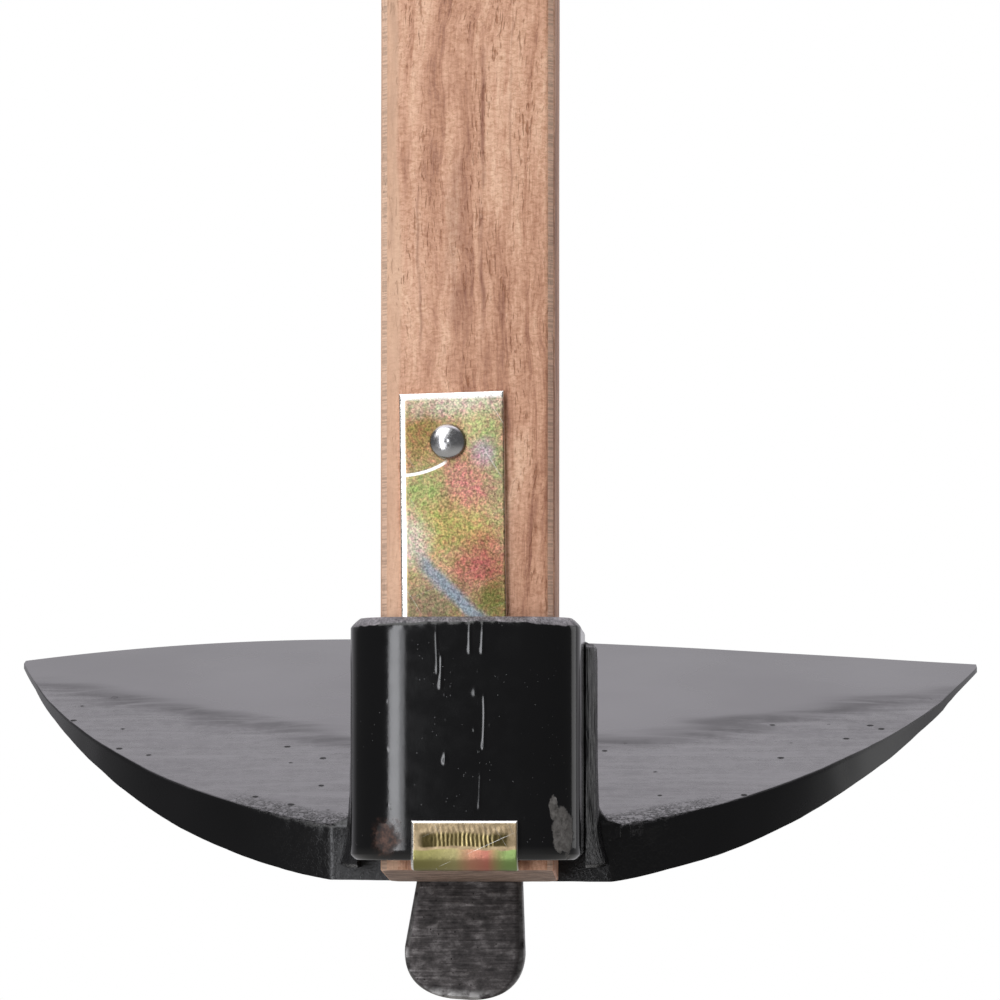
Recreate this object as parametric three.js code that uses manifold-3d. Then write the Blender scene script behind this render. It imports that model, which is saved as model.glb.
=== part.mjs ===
// Draw hoe: a forged half-moon blade with an upturned back wall, a strap welded to that wall to
// make the socket, an oak handle held by a plated strip and a nail in front, and an iron wedge
// driven up from below between the handle and the wall.
// Millimetres. The origin is the centre of the handle's butt face, +Z runs along the handle towards
// the butt, so the head hangs at the bottom, and the blade reaches out towards +Y.
import * as THREE from 'three';
import { mergeVertices } from 'three/addons/utils/BufferGeometryUtils.js';
import Module from 'manifold-3d';

const wasm = await Module();
wasm.setup();

// Space left between two pieces that touch
const GAP = 0.3;

// Handle
const HANDLE_LENGTH = 1050;
const HANDLE_WIDTH = 35;
const HANDLE_DEPTH = 31;
const HANDLE_SWELL = 0.8;
const SWELL_LENGTH = 180;
const HEAD_CHAMFER = 1.7;
const GRIP_WIDTH = 33;
const GRIP_DEPTH = 28;
const GRIP_CHAMFER = 8;
const GRIP_START = 380;
const GRIP_EASING = 300;
const BUTT_BEVEL = 2.5;
const SAW_SLANT = 2.8;
const HANDLE_STEPS = 30;

// Socket strap: a flat bar bent round the front of the handle, its legs welded to the back wall
const STRAP_LIFT = 4.9;
const STRAP_BASE = STRAP_LIFT - HANDLE_LENGTH;
const STRAP_HEIGHT = 48.5;
const STRAP_WALL = 5.1;
const STRAP_CORNER = 10;
const STRAP_CROWN = 0.5;
const STRAP_BEVEL = 1.2;
const STRAP_SLACK = 0.7;
const STRAP_SIDE = -0.4;

// Retaining strip: runs down inside the socket, under the strap and up its front
const STRIP_WIDTH = 21.2;
const STRIP_THICKNESS = 1.8;
const STRIP_RISE = 94.1;
const STRIP_KINK_RISE = 46;
const STRIP_KINK_SIDE = -2.5;
const STRIP_TOP_SIDE = -3.1;
const STRIP_TOP_SLANT = 1.6;
const STRIP_OVERLAP = 1;
const HOOK_RISE = 7.9;
const BEND_STEPS = 6;

// Nail
const NAIL_HEAD_RADIUS = 3.7;
const NAIL_HEAD_HEIGHT = 2.2;
const NAIL_SHANK_RADIUS = 1.3;
const NAIL_LENGTH = 24;
const NAIL_TIP = 3;
const NAIL_SIDE = -3.85;
const NAIL_RISE = 84;

// Blade
const WALL_FRONT = HANDLE_DEPTH / 2 + 1.5;
const WALL_THICKNESS = 6;
const WALL_RISE = 45.4;
const WALL_HALF_WIDTH = 25.4;
const WALL_CORNER = 4;
const WALL_FLARE = 5;
const WALL_SUNK = 4;
const BLADE_HALF_WIDTH = 114;
const BLADE_SIDE = -1.1;
const BLADE_ROLL = 0.3;
const RIM_CENTRE = 218.3;
const RIM_HALF_LENGTH = 207;
const RIM_HALF_SPAN = 125.5;
const EDGE_REACH = 159.5;
const EDGE_SAG = 25;
const EDGE_SKEW = 0.04;
const EDGE_WARP = 0.015;
const ROOT_RISE = 7.2;
const FACE_CLIMB = 43.9;
const FACE_CROWN = 2.5;
const RIM_THICKNESS = 11.6;
const TIP_THICKNESS = 1.3;
const EDGE_THICKNESS = 1.4;
const BLADE_COLUMNS = 60;
const BLADE_ROWS = 10;

// Weld beads in the two corners between the strap's legs and the back wall
const BEAD_SIZE = 2.3;
const BEAD_REACH = 2.4;
const BEAD_SWELL = 1.2;
const BEAD_FOOT = -2;
const BEAD_BULGE = 0.7;
const BEAD_TOP_DROP = 1;
const BEAD_STEPS = 12;

// Wedge
const WEDGE_TIP_RISE = 44;
const WEDGE_FOOT = -29.2;
const WEDGE_TIP_THICKNESS = 1.2;
const WEDGE_TIP_CORNER = 2;
const WEDGE_TAPER = 5;
const WEDGE_WIDTH = 20.2;
const WEDGE_FLARE_ANGLE = 6;
const WEDGE_FLARE_LENGTH = 23;
const WEDGE_CORNER = 10;
const WEDGE_LEAN = 4;
const WEDGE_SIDE = -0.6;

const radians = THREE.MathUtils.degToRad;
const tan = (degrees) => Math.tan(radians(degrees));

// Materials, one for each kind of surface
const finish = {
  oak: { color: 0xd9ae8c, roughness: 0.62, metalness: 0 },
  blackPaint: { color: 0x1b1b1d, roughness: 0.3, metalness: 0 },
  weldPaint: { color: 0x202022, roughness: 0.45, metalness: 0 },
  chromate: { color: 0xb9ae7e, roughness: 0.3, metalness: 0.9 },
  nailSteel: { color: 0xc4c6c8, roughness: 0.22, metalness: 1 },
  rawSteel: { color: 0x55504e, roughness: 0.5, metalness: 0.8 },
};

// A closed geometry as a manifold solid, which needs each corner once
function toSolid(geometry) {
  const bare = geometry.clone();
  bare.deleteAttribute('normal');
  bare.deleteAttribute('uv');
  const merged = mergeVertices(bare, 1e-4);
  return new wasm.Manifold(new wasm.Mesh({
    numProp: 3,
    vertProperties: new Float32Array(merged.attributes.position.array),
    triVerts: new Uint32Array(merged.index.array),
  }));
}

function toGeometry(solid) {
  const mesh = solid.getMesh();
  const geometry = new THREE.BufferGeometry();
  geometry.setAttribute('position', new THREE.BufferAttribute(new Float32Array(mesh.vertProperties), 3));
  geometry.setIndex(new THREE.BufferAttribute(new Uint32Array(mesh.triVerts), 1));
  return geometry;
}

// Moves every corner of a geometry to the place that bend(x, y, z) gives
function reshape(geometry, bend) {
  const position = geometry.attributes.position;
  for (let i = 0; i < position.count; i += 1) {
    position.setXYZ(i, ...bend(position.getX(i), position.getY(i), position.getZ(i)));
  }
  return geometry;
}

function part(name, geometry, look) {
  const clean = geometry.index ? geometry.toNonIndexed() : geometry;
  clean.computeVertexNormals();
  const mesh = new THREE.Mesh(clean, new THREE.MeshStandardMaterial(finish[look]));
  mesh.name = name;
  return mesh;
}

// An outline drawn in X and Z, thickened along Y from `front` to `front + thickness`
function plateAcross(shape, front, thickness) {
  const geometry = new THREE.ExtrudeGeometry(shape, { depth: thickness, bevelEnabled: false });
  geometry.rotateX(Math.PI / 2);
  return geometry.translate(0, front + thickness, 0);
}

// An outline drawn in Y and Z, thickened along X and centred on X = 0
function plateAlong(shape, width) {
  const geometry = new THREE.ExtrudeGeometry(shape, {
    depth: width,
    bevelEnabled: false,
    curveSegments: BEND_STEPS,
  });
  geometry.translate(0, 0, -width / 2);
  return geometry.applyMatrix4(new THREE.Matrix4().makeBasis(
    new THREE.Vector3(0, 1, 0),
    new THREE.Vector3(0, 0, 1),
    new THREE.Vector3(1, 0, 0),
  ));
}

function nailHole() {
  const hole = new THREE.CylinderGeometry(NAIL_SHANK_RADIUS + GAP, NAIL_SHANK_RADIUS + GAP, 2 * NAIL_LENGTH, 16);
  return toSolid(hole.translate(NAIL_SIDE, 1 - HANDLE_DEPTH / 2, STRAP_BASE + NAIL_RISE));
}

// ---------------------------------------------------------------- wedge

// The wedge's thickness at a height above the strap's lower rim
const wedgeThickness = (rise) => WEDGE_TIP_THICKNESS + (WEDGE_TIP_RISE - rise) * tan(WEDGE_TAPER);

// A bar that flares towards its rounded outer end, leaning a little, and thin at its inner end
function wedge() {
  const half = WEDGE_WIDTH / 2;
  const flareTop = WEDGE_FOOT + WEDGE_CORNER + WEDGE_FLARE_LENGTH;
  const footHalf = half + WEDGE_FLARE_LENGTH * tan(WEDGE_FLARE_ANGLE);
  const face = new THREE.Shape();
  face.moveTo(half - WEDGE_TIP_CORNER, WEDGE_TIP_RISE);
  face.lineTo(-(half - WEDGE_TIP_CORNER), WEDGE_TIP_RISE);
  face.lineTo(-half, WEDGE_TIP_RISE - WEDGE_TIP_CORNER);
  face.lineTo(-half, flareTop);
  face.lineTo(-footHalf, WEDGE_FOOT + WEDGE_CORNER);
  face.quadraticCurveTo(-footHalf, WEDGE_FOOT + 1, -footHalf + WEDGE_CORNER, WEDGE_FOOT);
  face.lineTo(footHalf - WEDGE_CORNER, WEDGE_FOOT);
  face.quadraticCurveTo(footHalf, WEDGE_FOOT + 1, footHalf, WEDGE_FOOT + WEDGE_CORNER);
  face.lineTo(half, flareTop);
  face.lineTo(half, WEDGE_TIP_RISE - WEDGE_TIP_CORNER);
  face.closePath();
  const plate = plateAcross(face, 0, 2 * WALL_FRONT);
  plate.rotateY(radians(WEDGE_LEAN));

  const back = WALL_FRONT - GAP;
  const tip = WEDGE_TIP_RISE + 5;
  const foot = WEDGE_FOOT - 5;
  const side = new THREE.Shape();
  side.moveTo(back, foot);
  side.lineTo(back, tip);
  side.lineTo(back - wedgeThickness(tip), tip);
  side.lineTo(back - wedgeThickness(foot), foot);
  side.closePath();
  const taper = plateAlong(side, 4 * WEDGE_WIDTH);

  const geometry = toGeometry(toSolid(plate).intersect(toSolid(taper)));
  return part('wedge', geometry.translate(WEDGE_SIDE, 0, STRAP_BASE), 'rawSteel');
}

// ---------------------------------------------------------------- handle

// Half width, front, back and chamfer of the handle at a height above its lower end
function handleSection(rise) {
  const swell = HANDLE_SWELL * Math.min(rise / SWELL_LENGTH, 1);
  const grip = THREE.MathUtils.smoothstep(rise, GRIP_START, GRIP_START + GRIP_EASING);
  const butt = rise > HANDLE_LENGTH - BUTT_BEVEL / 2 ? BUTT_BEVEL : 0;
  const halfWidth = THREE.MathUtils.lerp(HANDLE_WIDTH + swell, GRIP_WIDTH, grip) / 2 - butt;
  const halfDepth = THREE.MathUtils.lerp(HANDLE_DEPTH, GRIP_DEPTH, grip) / 2 - butt;
  const ramp = WALL_FRONT - 2 * GAP - wedgeThickness(rise - STRAP_LIFT);
  const chamfer = THREE.MathUtils.lerp(HEAD_CHAMFER, GRIP_CHAMFER, grip) - butt / 2;
  return { halfWidth, front: -halfDepth, back: Math.min(halfDepth, ramp), chamfer };
}

// Heights of the handle's sections: the ends, where the ramp for the wedge stops, and even steps
function handleRises() {
  const rampEnd = STRAP_LIFT + WEDGE_TIP_RISE - (HANDLE_DEPTH / 2 - WALL_FRONT + 2 * GAP + WEDGE_TIP_THICKNESS)
    / tan(WEDGE_TAPER);
  const rises = [0, rampEnd];
  const steps = HANDLE_STEPS - 3;
  for (let i = 1; i <= steps; i += 1) {
    rises.push(rampEnd + (HANDLE_LENGTH - BUTT_BEVEL - rampEnd) * i / steps);
  }
  rises.push(HANDLE_LENGTH);
  return rises;
}

// An eight-sided bar, easing from a square-edged head to a heavily chamfered grip
function handle() {
  const octagon = new THREE.Shape();
  octagon.moveTo(1, -0.5);
  octagon.lineTo(1, 0.5);
  octagon.lineTo(0.5, 1);
  octagon.lineTo(-0.5, 1);
  octagon.lineTo(-1, 0.5);
  octagon.lineTo(-1, -0.5);
  octagon.lineTo(-0.5, -1);
  octagon.lineTo(0.5, -1);
  octagon.closePath();
  const rises = handleRises();
  const steps = rises.length - 1;
  const bar = new THREE.ExtrudeGeometry(octagon, { depth: steps, steps, bevelEnabled: false });
  reshape(bar, (x, y, z) => {
    const rise = rises[Math.round(z)];
    const { halfWidth, front, back, chamfer } = handleSection(rise);
    const onSide = Math.abs(x) > 0.75;
    const across = Math.sign(x) * (onSide ? halfWidth : halfWidth - chamfer);
    const inset = onSide ? chamfer : 0;
    const deep = y > 0 ? back - inset : front + inset;
    const lift = rise === 0 ? SAW_SLANT * (back - deep) / (back - front) : 0;
    return [across, deep, rise - HANDLE_LENGTH + lift];
  });
  return part('handle', toGeometry(toSolid(bar).subtract(nailHole())), 'oak');
}

// ---------------------------------------------------------------- socket strap

const STRAP_INNER_HALF = HANDLE_WIDTH / 2 + STRAP_SLACK;
const STRAP_HALF_WIDTH = STRAP_INNER_HALF + STRAP_WALL;
const STRIP_FRONT = -(HANDLE_DEPTH / 2 + STRIP_THICKNESS + GAP);
const STRAP_INNER_FRONT = STRIP_FRONT - GAP;
const STRAP_FRONT = STRAP_INNER_FRONT - STRAP_WALL;

// A U of flat bar with rounded bends and a slightly crowned front, open towards the back wall
function socketStrap() {
  const legEnd = WALL_FRONT - GAP;
  const inner = STRAP_CORNER - STRAP_WALL;
  const u = new THREE.Shape();
  u.moveTo(STRAP_HALF_WIDTH, legEnd);
  u.lineTo(STRAP_INNER_HALF, legEnd);
  u.lineTo(STRAP_INNER_HALF, STRAP_INNER_FRONT + inner);
  u.absarc(STRAP_INNER_HALF - inner, STRAP_INNER_FRONT + inner, inner, 0, -Math.PI / 2, true);
  u.lineTo(inner - STRAP_INNER_HALF, STRAP_INNER_FRONT);
  u.absarc(inner - STRAP_INNER_HALF, STRAP_INNER_FRONT + inner, inner, -Math.PI / 2, -Math.PI, true);
  u.lineTo(-STRAP_INNER_HALF, legEnd);
  u.lineTo(-STRAP_HALF_WIDTH, legEnd);
  u.lineTo(-STRAP_HALF_WIDTH, STRAP_FRONT + STRAP_CORNER);
  u.absarc(STRAP_CORNER - STRAP_HALF_WIDTH, STRAP_FRONT + STRAP_CORNER, STRAP_CORNER, Math.PI, 1.5 * Math.PI);
  u.quadraticCurveTo(0, STRAP_FRONT - 2 * STRAP_CROWN, STRAP_HALF_WIDTH - STRAP_CORNER, STRAP_FRONT);
  u.absarc(STRAP_HALF_WIDTH - STRAP_CORNER, STRAP_FRONT + STRAP_CORNER, STRAP_CORNER, 1.5 * Math.PI, 2 * Math.PI);
  u.closePath();
  const geometry = new THREE.ExtrudeGeometry(u, {
    depth: STRAP_HEIGHT - 2 * STRAP_BEVEL,
    bevelThickness: STRAP_BEVEL,
    bevelSize: STRAP_BEVEL,
    bevelOffset: -STRAP_BEVEL,
    bevelSegments: 1,
    curveSegments: 8,
  });
  return part('socket_strap', geometry.translate(STRAP_SIDE, 0, STRAP_BASE + STRAP_BEVEL), 'blackPaint');
}

// ---------------------------------------------------------------- weld beads

// A fillet between the strap's leg and the wall, long on the leg and swelling towards its foot;
// `side` is -1 or 1
function weldBead(name, side) {
  const fillet = new THREE.Shape();
  fillet.moveTo(0, 0);
  fillet.lineTo(0, -1);
  fillet.quadraticCurveTo(BEAD_BULGE, -BEAD_BULGE, 1, 0);
  fillet.closePath();
  const top = WALL_RISE - BEAD_TOP_DROP;
  const bead = new THREE.ExtrudeGeometry(fillet, {
    depth: top - BEAD_FOOT,
    steps: BEAD_STEPS,
    bevelEnabled: false,
    curveSegments: 4,
  });
  reshape(bead, (x, y, z) => {
    const size = BEAD_SIZE * (1 + BEAD_SWELL * (1 - z / (top - BEAD_FOOT)) ** 6);
    return [x * size, y * size * BEAD_REACH, z];
  });
  bead.translate(STRAP_HALF_WIDTH + GAP, WALL_FRONT - GAP, STRAP_BASE + BEAD_FOOT);
  const solid = side < 0 ? toSolid(bead).mirror([1, 0, 0]) : toSolid(bead);
  return part(name, toGeometry(solid).translate(STRAP_SIDE, 0, 0), 'weldPaint');
}

// ---------------------------------------------------------------- blade

// How far back the thick rim lies: part of an ellipse, cut flat where the wall stands
function rimReach(x) {
  const onEllipse = RIM_CENTRE - RIM_HALF_LENGTH * Math.sqrt(1 - (x / RIM_HALF_SPAN) ** 2);
  return Math.max(WALL_FRONT, onEllipse);
}

// One-sidedness of a hand-forged blade: nil in the middle and at both tips
const lopsided = (x) => x * (1 - (x / BLADE_HALF_WIDTH) ** 2);

// How far out the cutting edge lies: a shallow curve, a little fuller on one side
function edgeReach(x) {
  return EDGE_REACH - EDGE_SAG * (x / BLADE_HALF_WIDTH) ** 2 - EDGE_SKEW * lopsided(x);
}

// Height of the upper face above the strap's lower rim
function faceRise(y) {
  const t = (y - WALL_FRONT) / (EDGE_REACH - WALL_FRONT);
  return ROOT_RISE + FACE_CLIMB * t + 4 * FACE_CROWN * t * (1 - t);
}

function bladeThickness(x, across) {
  const swell = (1 - (x / BLADE_HALF_WIDTH) ** 4) ** 2;
  const rim = TIP_THICKNESS + (RIM_THICKNESS - TIP_THICKNESS) * swell;
  return EDGE_THICKNESS + (rim - EDGE_THICKNESS) * (1 - across) ** 1.3;
}

// The half-moon plate, thick along its rim and thin along its cutting edge
function bladePlate() {
  const plate = new THREE.BoxGeometry(1, 1, 1, BLADE_COLUMNS, BLADE_ROWS, 1);
  return reshape(plate, (u, v, w) => {
    const x = 2 * BLADE_HALF_WIDTH * u;
    const across = v + 0.5;
    const y = THREE.MathUtils.lerp(rimReach(x), edgeReach(x), across);
    const below = (0.5 - w) * bladeThickness(x, across);
    const sink = x * tan(BLADE_ROLL) + EDGE_WARP * lopsided(x) * across;
    return [x + BLADE_SIDE, y, STRAP_BASE + faceRise(y) - sink - below];
  });
}

// The upturned wall behind the handle, flaring where it grows out of the plate
function backWall() {
  const foot = faceRise(WALL_FRONT) - WALL_SUNK;
  const flareTop = foot + WALL_SUNK + WALL_FLARE;
  const wall = new THREE.Shape();
  const flareHalf = WALL_HALF_WIDTH + WALL_FLARE;
  wall.moveTo(-flareHalf, foot);
  wall.lineTo(flareHalf, foot);
  wall.lineTo(flareHalf, flareTop - WALL_FLARE);
  wall.absarc(flareHalf, flareTop, WALL_FLARE, -Math.PI / 2, -Math.PI, true);
  wall.lineTo(WALL_HALF_WIDTH, WALL_RISE - WALL_CORNER);
  wall.absarc(WALL_HALF_WIDTH - WALL_CORNER, WALL_RISE - WALL_CORNER, WALL_CORNER, 0, Math.PI / 2);
  wall.absarc(WALL_CORNER - WALL_HALF_WIDTH, WALL_RISE - WALL_CORNER, WALL_CORNER, Math.PI / 2, Math.PI);
  wall.lineTo(-WALL_HALF_WIDTH, flareTop);
  wall.absarc(-flareHalf, flareTop, WALL_FLARE, 0, -Math.PI / 2, true);
  wall.closePath();
  return plateAcross(wall, WALL_FRONT, WALL_THICKNESS).translate(0, 0, STRAP_BASE);
}

function blade() {
  return part('blade', toGeometry(toSolid(bladePlate()).add(toSolid(backWall()))), 'blackPaint');
}

// ---------------------------------------------------------------- retaining strip and nail

// The strip's leg, seen from the front: sprung a little sideways inside the socket, and cut
// slightly out of square at its top end
function stripLeg() {
  const half = STRIP_WIDTH / 2;
  const slant = half * tan(STRIP_TOP_SLANT);
  const leg = new THREE.Shape();
  leg.moveTo(-half, 0);
  leg.lineTo(half, 0);
  leg.lineTo(half, STRIP_OVERLAP);
  leg.lineTo(half + STRIP_KINK_SIDE, STRIP_KINK_RISE);
  leg.lineTo(half + STRIP_TOP_SIDE, STRIP_RISE + slant);
  leg.lineTo(-half + STRIP_TOP_SIDE, STRIP_RISE - slant);
  leg.lineTo(-half + STRIP_KINK_SIDE, STRIP_KINK_RISE);
  leg.lineTo(-half, STRIP_OVERLAP);
  leg.closePath();
  return plateAcross(leg, STRIP_FRONT, STRIP_THICKNESS);
}

// The strip's hook, seen from the side: round under the strap and up its front
function stripHook() {
  const back = STRIP_FRONT + STRIP_THICKNESS;
  const hookBack = STRAP_FRONT - STRAP_CROWN - GAP;
  const hookFront = hookBack - STRIP_THICKNESS;
  const bend = STRIP_THICKNESS;
  const side = new THREE.Shape();
  side.moveTo(back, STRIP_OVERLAP);
  side.lineTo(STRIP_FRONT, STRIP_OVERLAP);
  side.lineTo(STRIP_FRONT, -GAP);
  side.lineTo(hookBack, -GAP);
  side.lineTo(hookBack, HOOK_RISE);
  side.lineTo(hookFront, HOOK_RISE);
  side.absarc(hookFront + bend, -GAP, bend, Math.PI, 1.5 * Math.PI);
  side.absarc(back - bend, -GAP, bend, -Math.PI / 2, 0);
  side.closePath();
  return plateAlong(side, STRIP_WIDTH);
}

function retainingStrip() {
  const bent = toSolid(stripLeg()).add(toSolid(stripHook())).translate([0, 0, STRAP_BASE]);
  return part('retaining_strip', toGeometry(bent.subtract(nailHole())), 'chromate');
}

// A round nail with a domed head, driven towards +Y through the strip into the wood
function stripNail() {
  const profile = new THREE.Shape();
  profile.moveTo(0, -NAIL_LENGTH);
  profile.lineTo(NAIL_SHANK_RADIUS, NAIL_TIP - NAIL_LENGTH);
  profile.lineTo(NAIL_SHANK_RADIUS, 0);
  profile.lineTo(NAIL_HEAD_RADIUS - 0.3, 0);
  profile.quadraticCurveTo(NAIL_HEAD_RADIUS + 0.2, 0.5, NAIL_HEAD_RADIUS * 0.75, NAIL_HEAD_HEIGHT * 0.7);
  profile.quadraticCurveTo(NAIL_HEAD_RADIUS * 0.45, NAIL_HEAD_HEIGHT, 0, NAIL_HEAD_HEIGHT);
  const nail = new THREE.LatheGeometry(profile.getPoints(5), 24);
  nail.rotateZ(Math.PI);
  nail.translate(NAIL_SIDE, STRIP_FRONT - GAP, STRAP_BASE + NAIL_RISE);
  return part('strip_nail', nail, 'nailSteel');
}

const group = new THREE.Group();
group.add(
  handle(),
  blade(),
  socketStrap(),
  weldBead('weld_bead_left', -1),
  weldBead('weld_bead_right', 1),
  retainingStrip(),
  stripNail(),
  wedge(),
);

export default group;
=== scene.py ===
"""Draw hoe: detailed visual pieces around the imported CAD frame.

Lengths in this file are millimetres in the CAD frame unless a comment says otherwise; they turn
into metres when a mesh is made. A "rise" is a height above the lower rim of the socket strap.
"""
import math

import bmesh
import bpy
import numpy as np
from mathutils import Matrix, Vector, noise


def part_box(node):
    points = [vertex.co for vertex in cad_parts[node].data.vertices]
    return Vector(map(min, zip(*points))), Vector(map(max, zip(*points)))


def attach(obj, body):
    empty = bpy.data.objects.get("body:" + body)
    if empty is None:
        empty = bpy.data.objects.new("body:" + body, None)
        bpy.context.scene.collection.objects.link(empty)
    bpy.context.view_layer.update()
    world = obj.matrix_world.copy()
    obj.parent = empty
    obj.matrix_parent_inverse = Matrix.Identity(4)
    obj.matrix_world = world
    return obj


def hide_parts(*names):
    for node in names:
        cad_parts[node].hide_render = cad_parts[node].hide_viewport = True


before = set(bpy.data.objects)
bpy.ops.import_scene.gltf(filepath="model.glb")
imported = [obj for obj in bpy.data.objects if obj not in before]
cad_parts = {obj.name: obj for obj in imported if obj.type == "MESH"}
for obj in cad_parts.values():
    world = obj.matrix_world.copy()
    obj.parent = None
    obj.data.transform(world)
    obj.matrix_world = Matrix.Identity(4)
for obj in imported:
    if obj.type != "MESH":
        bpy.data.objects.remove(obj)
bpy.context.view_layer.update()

MM = 0.001
BODY = "root"


def box(node):
    low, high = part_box(node)
    return Vector(low) / MM, Vector(high) / MM


strap_low, strap_high = box("socket_strap")
blade_low, blade_high = box("blade")
handle_low, handle_high = box("handle")
strip_low, strip_high = box("retaining_strip")
nail_low, nail_high = box("strip_nail")
wedge_low = box("wedge")[0]
bead_low, bead_high = box("weld_bead_right")
BASE = strap_low.z
GAP = 0.3

# ------------------------------------------------------------------ maths


def smooth(low, high, value):
    t = np.clip((np.asarray(value, float) - low) / (high - low), 0, 1)
    return t * t * (3 - 2 * t)


def lerp(a, b, t):
    return a + (b - a) * t


def tan(degrees):
    return math.tan(math.radians(degrees))


def quarter(t):
    """How far a quarter circle of radius 1 has fallen away at t: 0 at 0 and 1 at 1."""
    return 1 - np.sqrt(1 - t**2)


def wobble(points, size, seed=0.0, octaves=3):
    """Smooth noise of about -1 to 1 at each point; `size` is the width of its largest lumps."""
    size = np.broadcast_to(np.asarray(size, float), (3,))
    scaled = np.asarray(points, float) / size + seed
    return np.array([noise.fractal(Vector(p), 0.6, 2.0, octaves) for p in scaled])


# ------------------------------------------------------------------ meshes

SHARP_ANGLE = 35
CORNER_STEPS = 4


def face_outward(mesh):
    solid = bmesh.new()
    solid.from_mesh(mesh)
    if solid.calc_volume(signed=True) < 0:
        bmesh.ops.reverse_faces(solid, faces=solid.faces)
        solid.to_mesh(mesh)
    solid.free()


def add_object(name, data):
    thing = bpy.data.objects.new(name, data)
    bpy.context.scene.collection.objects.link(thing)
    return thing


def make_mesh(name, points, faces, materials, face_materials=None, sharp=SHARP_ANGLE):
    mesh = bpy.data.meshes.new(name)
    mesh.from_pydata((np.asarray(points, float) * MM).tolist(), [], faces)
    for material in materials:
        mesh.materials.append(material)
    if face_materials is not None:
        mesh.polygons.foreach_set("material_index", face_materials)
    mesh.validate()
    face_outward(mesh)
    mesh.shade_smooth()
    mesh.set_sharp_from_angle(angle=math.radians(sharp))
    return add_object(name, mesh)


def loft(rings):
    """Points and outward faces of a closed skin through equal rings, with a flat cap at each end.

    Seen from the last ring looking back at the first, the points of a ring run anticlockwise.
    """
    rings = np.asarray(rings, float)
    levels, count = rings.shape[:2]
    faces = []
    for i in range(levels - 1):
        a, b = i * count, (i + 1) * count
        for j in range(count):
            k = (j + 1) % count
            faces.append((a + j, a + k, b + k, b + j))
    faces.append(tuple(range(count - 1, -1, -1)))
    faces.append(tuple(range((levels - 1) * count, levels * count)))
    return rings.reshape(-1, 3), faces


def give(piece, name, values):
    """Stores one number per point for the piece's material to read."""
    layer = piece.data.attributes.new(name, "FLOAT", "POINT")
    layer.data.foreach_set("value", np.asarray(values, float))


def cut(piece, tool, operation):
    """Joins or subtracts a closed tool object, then removes the tool."""
    modifier = piece.modifiers.new("cut", "BOOLEAN")
    modifier.operation = operation
    modifier.solver = "MANIFOLD"
    modifier.object = tool
    graph = bpy.context.evaluated_depsgraph_get()
    result = bpy.data.meshes.new_from_object(piece.evaluated_get(graph), depsgraph=graph)
    piece.modifiers.clear()
    old = piece.data
    piece.data = result
    bpy.data.meshes.remove(old)
    bpy.data.objects.remove(tool)
    piece.data.shade_smooth()
    piece.data.set_sharp_from_angle(angle=math.radians(SHARP_ANGLE))


def place(piece, node):
    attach(piece, BODY)
    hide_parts(node)


def rounded_box_ring(left, right, front, back, radius, z, across=0):
    """A ring in the XY plane: a rectangle with round corners, anticlockwise from above.

    `across` adds that many points along its front and as many along its back.
    """
    radius = min(radius, (right - left) / 2 - 1e-3, (back - front) / 2 - 1e-3)
    corners = ((right, back, 0), (left, back, 1), (left, front, 2), (right, front, 3))
    ring = []
    for x, y, turn in corners:
        cx = x - radius if x == right else x + radius
        cy = y - radius if y == back else y + radius
        for i in range(CORNER_STEPS + 1):
            angle = math.pi / 2 * (turn + i / CORNER_STEPS)
            ring.append((cx + radius * math.cos(angle), cy + radius * math.sin(angle), z))
        if turn % 2 == 0:
            span = right - left - 2 * radius
            toward = -1 if turn == 0 else 1
            start = ring[-1]
            ring += [(start[0] + toward * span * (i + 1) / (across + 1), y, z) for i in range(across)]
    return ring


# ------------------------------------------------------------------ node materials


def add_node(tree, kind, inputs, output=0, **settings):
    """Adds a node with its settings, then its inputs (a value or another node's output)."""
    node = tree.nodes.new(kind)
    for key, value in settings.items():
        setattr(node, key, value)
    for key, value in inputs.items():
        if isinstance(value, bpy.types.NodeSocket):
            tree.links.new(value, node.inputs[key])
        else:
            node.inputs[key].default_value = value
    return None if output is None else node.outputs[output]


def add_mix(tree, factor, a, b, blend="MIX"):
    """A colour between a and b; a plain colour is given as three numbers."""
    a, b = (v if isinstance(v, bpy.types.NodeSocket) else (*v, 1.0) for v in (a, b))
    inputs = {0: factor, 6: a, 7: b}
    return add_node(tree, "ShaderNodeMix", inputs, 2, data_type="RGBA", blend_type=blend)


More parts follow.
